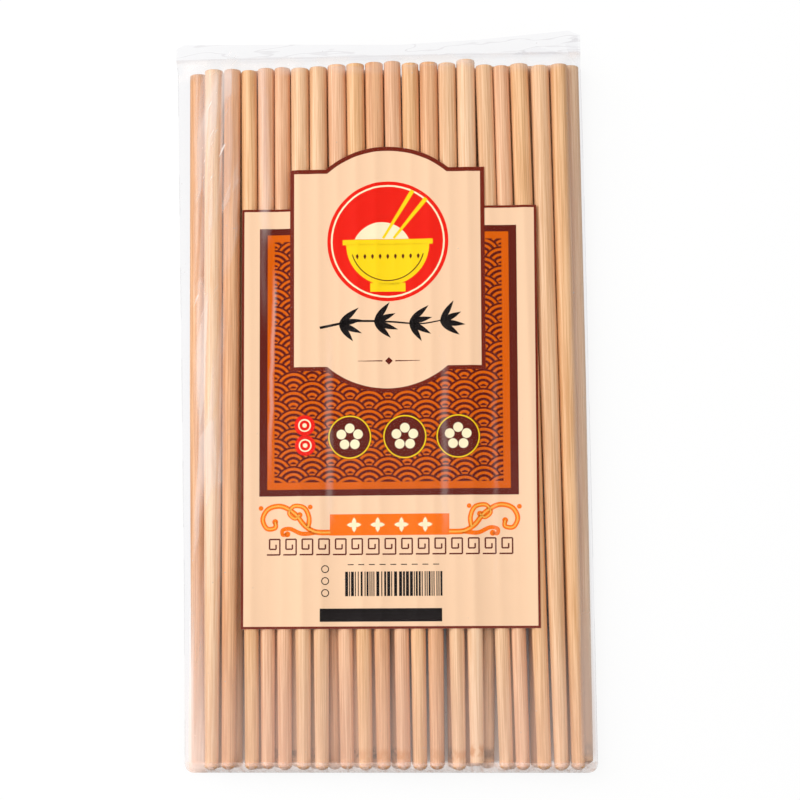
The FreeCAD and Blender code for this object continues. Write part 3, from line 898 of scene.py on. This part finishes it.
class FilmMarks:
    """Shares from 0 to 1 that follow the place on the bag, for the film's milk, its painted reflections
    and highlights, and its lines.
    """

    def __init__(self, tree):
        self.tree = tree
        self.place = place_on(tree)
        split = tree.nodes.new("ShaderNodeSeparateXYZ")
        tree.links.new(self.place, split.inputs[0])
        self.x, self.y = split.outputs[0], split.outputs[1]
        sway = self.plus(noise_of(tree, self.drawn_out(60, 16), 1.0, 2.0), -0.5)
        self.bent = self.plus(self.x, self.times(sway, 2 * MM))

    def plus(self, first, second):
        return math_of(self.tree, "ADD", first, second)

    def times(self, *shares):
        product = shares[0]
        for share in shares[1:]:
            product = math_of(self.tree, "MULTIPLY", product, share)
        return product

    def off(self, value, line):
        """How far a value lies from a line, to either side."""
        return math_of(self.tree, "ABSOLUTE", math_of(self.tree, "SUBTRACT", value, line), 0.0)

    def inside(self, value, *steps):
        """1 where a place has passed all these steps."""
        return self.times(*[between(self.tree, value, start * MM, full * MM) for start, full in steps])

    def drawn_out(self, across, along, lean=0):
        """The place in marks of this width and length in millimetres, leaning over to the left."""
        return mapped(self.tree, self.place, "TEXTURE", rotation=(0, 0, math.radians(lean)),
                      scale=(across * MM, along * MM, 1))

    def marks(self, across, along, lean, low, high):
        cloudy = noise_of(self.tree, self.drawn_out(across, along, lean), 1.0, 1.0)
        return between(self.tree, cloudy, low, high)

    def left_veil(self):
        """Painted reflection of the lamp in the creased film at the upper left: bands, facets and
        slanting slits, laid on as milk between the creases.
        """
        facets = add(self.tree, "ShaderNodeTexVoronoi", Scale=1.0)
        facets.feature = "SMOOTH_F1"
        facets.inputs["Smoothness"].default_value = 0.3
        self.tree.links.new(self.drawn_out(6, 30, -9), facets.inputs["Vector"])
        level = self.tree.nodes.new("ShaderNodeSeparateColor")
        self.tree.links.new(facets.outputs["Color"], level.inputs[0])
        # Painted light: the facets that face the lamp are picked at random, not from the film's shape.
        facing_lamp = between(self.tree, level.outputs[0], 0.12, 0.34)
        facing_lamp = self.plus(self.times(facing_lamp, 0.55), 0.35)
        depth = self.plus(level.outputs[1], 0.6)
        outer, inner = LEFT_VEIL_X
        inset = self.times(self.inside(self.y, LEFT_INSET_Y), LEFT_INSET * MM)
        at_left = self.times(self.inside(self.plus(self.bent, inset), inner),
                             self.inside(self.bent, outer))
        bands = self.plus(self.times(self.marks(3.0, 70, -2, 0.4, 0.56), 0.3), 0.1)
        veil = self.times(bands, facing_lamp, at_left, self.inside(self.y, *LEFT_VEIL_Y), depth)
        slits = self.times(self.marks(1.1, 11, -26, 0.62, 0.7), self.marks(9, 20, 0, 0.54, 0.6),
                           at_left, self.inside(self.y, SLITS_Y), 0.7)
        return self.plus(veil, slits)

    def right_veil(self):
        """Milk over the last back stick, where the film turns down at the right, partly a painted
        reflection that lightens the shade there.
        """
        leaned = self.plus(self.x, self.times(self.y, RIGHT_VEIL_LEAN))
        strength = RIGHT_VEIL_LEAST
        for step, gain in RIGHT_VEIL_GAINS:
            strength = self.plus(self.times(self.inside(self.y, step), gain), strength)
        return self.times(self.inside(leaned, *RIGHT_VEIL_X), self.inside(self.y, *RIGHT_VEIL_Y),
                          strength)

    def low_left_veil(self):
        """Streaky milk over the first back stick, strongest at its outer edge, partly a painted
        reflection of the lamp on the left.
        """
        strength = self.plus(self.times(self.inside(self.x, LOW_LEFT_EDGE), 0.4), 0.42)
        streaks = self.plus(self.times(self.marks(2.5, 40, -3, 0.35, 0.65), 0.5), 0.75)
        return self.times(self.inside(self.x, *LOW_LEFT_X), self.inside(self.y, LOW_LEFT_Y),
                          strength, streaks)

    def foot_milk(self):
        """A haze towards the foot, and the stronger milk of the pleats over the thin ends."""
        haze = self.times(self.inside(self.y, HAZE_Y), 0.19)
        pleats = self.plus(self.times(self.marks(1.4, 2.6, 20, 0.45, 0.75), 0.32), 0.1)
        return self.plus(haze, self.times(self.inside(self.y, *HEM_Y), pleats))

    def shines(self):
        """Painted highlights: soft shines of the lamp down the film, where it runs flat, laid on as milk.
        """
        total = 0.0
        for line, lean, width, ends, strength in SHINES:
            leaned = math_of(self.tree, "SUBTRACT", self.bent, self.times(self.y, lean))
            shine = self.times(self.inside(self.off(leaned, line * MM), (width, 0)), strength)
            total = self.plus(self.times(shine, self.inside(self.y, *ends)), total)
        return total

    def shoulder(self):
        """Painted highlight: white patches where the film climbs from the thick ends to the flange, which
        also lighten the shadow of the thick ends on the table.
        """
        return self.times(self.inside(self.y, *SHOULDER_Y), self.marks(9, 6, 0, 0.3, 0.7), 0.35)

    # Painted glints: small white specks of the lamp's reflection all over the film, laid on as milk.
    def glints(self):
        return self.times(self.marks(1.3, 1.3, 0, 0.76, 0.83), 0.35)

    def thinness(self):
        """How freely light passes through the milk to what lies under it."""
        at_side = math_of(self.tree, "MAXIMUM", self.times(self.inside(self.x, THIN_LEFT_X), 0.5),
                          self.times(self.inside(self.x, THIN_RIGHT_X), self.inside(self.y, THIN_SIDE_Y)))
        at_side = self.times(at_side, self.inside(self.y, THIN_SIDE_Y))
        return math_of(self.tree, "MAXIMUM", at_side, self.inside(self.y, THIN_FOOT_Y))

    def milk(self):
        """Share of the film that is milky or carries painted reflections and highlights; where it is thin
        it casts no shadow.
        """
        total = 0.0
        for part in (self.left_veil(), self.right_veil(), self.low_left_veil(), self.foot_milk(),
                     self.shines(), self.shoulder(), self.glints()):
            total = self.plus(part, total)
        rays = self.tree.nodes.new("ShaderNodeLightPath")
        let_through = self.times(self.thinness(), rays.outputs["Is Shadow Ray"])
        total = self.times(total, math_of(self.tree, "SUBTRACT", 1.0, let_through))
        return math_of(self.tree, "MINIMUM", total, MOST_MILK)

    def dark_lines(self):
        """Fine wrinkles in the flange, and the line of its seal."""
        wrinkle = self.off(noise_of(self.tree, self.drawn_out(30, 5, 4), 1.0, 2.0), 0.5)
        wrinkles = self.times(self.inside(self.y, FLANGE_Y), between(self.tree, wrinkle, 0.02, 0.004),
                              0.4)
        seal = self.times(self.inside(self.off(self.y, SEAL_Y * MM), (0.7, 0.2)), 0.6)
        return math_of(self.tree, "MAXIMUM", wrinkles, seal)


def blend(tree, share, first, second):
    """One surface shader part of the way to another."""
    made = tree.nodes.new("ShaderNodeMixShader")
    for socket, value in zip(made.inputs, (share, first, second)):
        tree.links.new(value, socket)
    return made.outputs[0]


def clear_film(name, creased):
    """Clear film that shines, and is milky where it is creased, folded or doubled; the milk also carries
    painted reflections and highlights of the lamp.
    """
    material = bpy.data.materials.new(name)
    material.use_nodes = True
    tree = material.node_tree
    tree.nodes.remove(tree.nodes["Principled BSDF"])
    film = FilmMarks(tree)
    tint = mixed(tree, film.dark_lines(), (0.972, 0.972, 0.977, 1), (0.86, 0.85, 0.86, 1))
    clear = tree.nodes.new("ShaderNodeBsdfTransparent")
    tree.links.new(tint, clear.inputs[0])
    bump = add(tree, "ShaderNodeBump", Strength=0.5, Distance=0.12 * MM)
    tree.links.new(noise_of(tree, film.place, 4 * MM, detail=2.0), bump.inputs["Height"])
    gloss = add(tree, "ShaderNodeBsdfAnisotropic", Roughness=0.14)
    tree.links.new(bump.outputs[0], gloss.inputs["Normal"])
    facing = add(tree, "ShaderNodeLayerWeight", Blend=0.5)
    tree.links.new(bump.outputs[0], facing.inputs["Normal"])
    grazing = math_of(tree, "POWER", facing.outputs["Facing"], 4.0)
    mirror = math_of(tree, "ADD", math_of(tree, "MULTIPLY", grazing, 0.35), 0.004)
    skin = blend(tree, mirror, clear.outputs[0], gloss.outputs[0])
    if creased:
        milky = tree.nodes.new("ShaderNodeBsdfDiffuse")
        colour = mixed(tree, film.inside(film.y, HAZE_Y), paint(250, 240, 234), paint(252, 226, 212))
        tree.links.new(colour, milky.inputs["Color"])
        skin = blend(tree, film.milk(), skin, milky.outputs[0])
    tree.links.new(skin, tree.nodes["Material Output"].inputs["Surface"])
    return material


def film_piece(bm, name):
    for face in bm.faces:
        face.smooth = True
    piece = made_piece(bm, name, FILM)
    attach(piece, "root")
    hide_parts("film_bag")
    return piece


FILM = clear_film("creased_film", creased=True)
bm = film_sheet(front=True)
back_mesh = bpy.data.meshes.new("film_back")
back = film_sheet(front=False)
back.to_mesh(back_mesh)
back.free()
bm.from_mesh(back_mesh)
bpy.data.meshes.remove(back_mesh)
bmesh.ops.remove_doubles(bm, verts=[v for v in bm.verts if v.is_boundary], dist=0.002 * MM)
film_bag = film_piece(bm, "bag_film")
film_bag.data.materials.append(clear_film("smooth_film", creased=False))


# Two folds pressed into the right end of the flange, where the film lies double.
FLANGE_FOLDS = (
    ((44.9, 118.3), (54.0, 121.3), (64.4, 117.9)),
    ((63.8, 121.6), (68.2, 124.4), (68.6, 112.4), (65.6, 117.2)),
)
bm = bmesh.new()
for number, outline in enumerate(FLANGE_FOLDS):
    level = FLANGE_Z + SEALED + (0.75 + 0.15 * number) * MM
    bm.faces.new([bm.verts.new((x * MM, y * MM, level)) for x, y in outline])
film_piece(bm, "bag_flange_folds")


# The bag's lower end: the film past the thin ends is folded up over them and tacked down, so it
# lies double there, in a band of small pleats.
HEM_TOP = -122.8 * MM
HEM_WIDTH = 0.975
HEM_START = 0.04
HEM_COLUMNS = 260
HEM_ROWS = 10
bm = bmesh.new()
bmesh.ops.create_grid(bm, x_segments=HEM_COLUMNS, y_segments=HEM_ROWS, size=1)
for v in bm.verts:
    s, t = v.co.x, v.co.y
    x, foot = film_place(s * HEM_WIDTH, -1)
    ragged = 0.5 * MM * noise.noise(Vector((x / (6 * MM), 0.0, 9.0)))
    share = HEM_START + (1 - HEM_START) * (t + 1) / 2
    y = foot + (HEM_TOP + ragged - foot) * share
    pleat = noise.noise(Vector((x / (2.2 * MM), y / (5 * MM), 4.0)))
    v.co = (x, y, film_cover.at(x, y) + (0.3 + 0.25 * pleat) * share * MM + 0.05 * MM)
film_piece(bm, "bag_folded_end")


# Floor, light and camera: a white table under soft daylight from the left, seen from above at
# the height from which the pack's two ends keep the sizes that they have in the picture.
def seen_rays(tree):
    """1 for rays that show a thing to the eye, 0 for those that only carry light."""
    rays = tree.nodes.new("ShaderNodeLightPath")
    seen = rays.outputs["Is Camera Ray"]
    for kind in ("Is Glossy Ray", "Is Transmission Ray"):
        seen = math_of(tree, "MAXIMUM", seen, rays.outputs[kind])
    return seen


def lit_white(name, shade, own_light, covered_low, covered_high):
    """White that is lit like paper, and that reaches full white except where it is covered."""
    material = bpy.data.materials.new(name)
    material.use_nodes = True
    tree = material.node_tree
    tree.nodes.remove(tree.nodes["Principled BSDF"])
    plain = tree.nodes.new("ShaderNodeBsdfDiffuse")
    glow = tree.nodes.new("ShaderNodeEmission")
    split = tree.nodes.new("ShaderNodeSeparateXYZ")
    tree.links.new(place_on(tree), split.inputs[0])
    open_share = 0.0
    for axis, side in enumerate(split.outputs[:2]):
        for line, step in ((covered_low[axis], -2 * MM), (covered_high[axis], 2 * MM)):
            open_share = math_of(tree, "MAXIMUM", between(tree, side, line, line + step), open_share)
    full = shade + own_light
    tree.links.new(mixed(tree, open_share, (full, full, full, 1), (shade, shade, shade, 1)),
                   plain.inputs["Color"])
    seen = math_of(tree, "MULTIPLY", seen_rays(tree), open_share)
    tree.links.new(math_of(tree, "MULTIPLY", seen, own_light), glow.inputs["Strength"])
    both = tree.nodes.new("ShaderNodeAddShader")
    tree.links.new(plain.outputs[0], both.inputs[0])
    tree.links.new(glow.outputs[0], both.inputs[1])
    tree.links.new(both.outputs[0], tree.nodes["Material Output"].inputs["Surface"])
    return material


FLOOR_SIZE = 3.0
FLOOR_GAP = 0.1 * MM
TABLE_SHADE = 0.12
TABLE_LIGHT = 0.87
UNDER_STICKS = ((-63.5 * MM, -122.4 * MM), (66 * MM, 113 * MM))
bm = bmesh.new()
bmesh.ops.create_grid(bm, x_segments=1, y_segments=1, size=FLOOR_SIZE)
bmesh.ops.translate(bm, vec=(0, 0, -FLOOR_GAP), verts=bm.verts[:])
floor = made_piece(bm, "floor", lit_white("white_table", TABLE_SHADE, TABLE_LIGHT, *UNDER_STICKS))
floor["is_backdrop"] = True

world = bpy.data.worlds.new("daylight")
bpy.context.scene.world = world
world.use_nodes = True
tree = world.node_tree
sky = tree.nodes["Background"]
sky.inputs["Color"].default_value = (1.0, 0.995, 0.985, 1)
SKY_LEVEL = 0.69
to_white = math_of(tree, "MULTIPLY", seen_rays(tree), 1 - SKY_LEVEL)
tree.links.new(math_of(tree, "ADD", SKY_LEVEL, to_white), sky.inputs["Strength"])


def soft_box(name, place, size, power):
    """A lamp panel turned to the pack."""
    lamp = bpy.data.lights.new(name, "AREA")
    lamp.shape = "RECTANGLE"
    lamp.size, lamp.size_y = size
    lamp.energy = power
    box = bpy.data.objects.new(name, lamp)
    box.location = place
    box.rotation_euler = (-Vector(place)).to_track_quat("-Z", "Y").to_euler()
    bpy.context.scene.collection.objects.link(box)


LAMPS = {
    "window": ((-0.75, 0.25, 0.7), (0.7, 0.9), 6.7),
    "strip": ((-0.22, 0.0, 1.0), (0.1, 0.9), 1.5),
}
for name, (place, size, power) in LAMPS.items():
    soft_box(name, place, size, power)

CAMERA_PLACE = Vector((50.26, -80.75, 700.0)) * MM
CAMERA_TURN = (6.53, 3.66, -0.22)
FOCAL_PIXELS = 2052.8
PICTURE_WIDTH = 800
SENSOR_WIDTH = 36.0
camera = bpy.data.cameras.new("camera")
camera.sensor_width = SENSOR_WIDTH
camera.lens = FOCAL_PIXELS / PICTURE_WIDTH * SENSOR_WIDTH
camera.clip_start = 0.01
eye = bpy.data.objects.new("camera", camera)
eye.location = CAMERA_PLACE
eye.rotation_euler = [math.radians(turn) for turn in CAMERA_TURN]
bpy.context.scene.collection.objects.link(eye)
bpy.context.scene.camera = eye
bpy.context.scene.view_settings.view_transform = "Standard"

low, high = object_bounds()
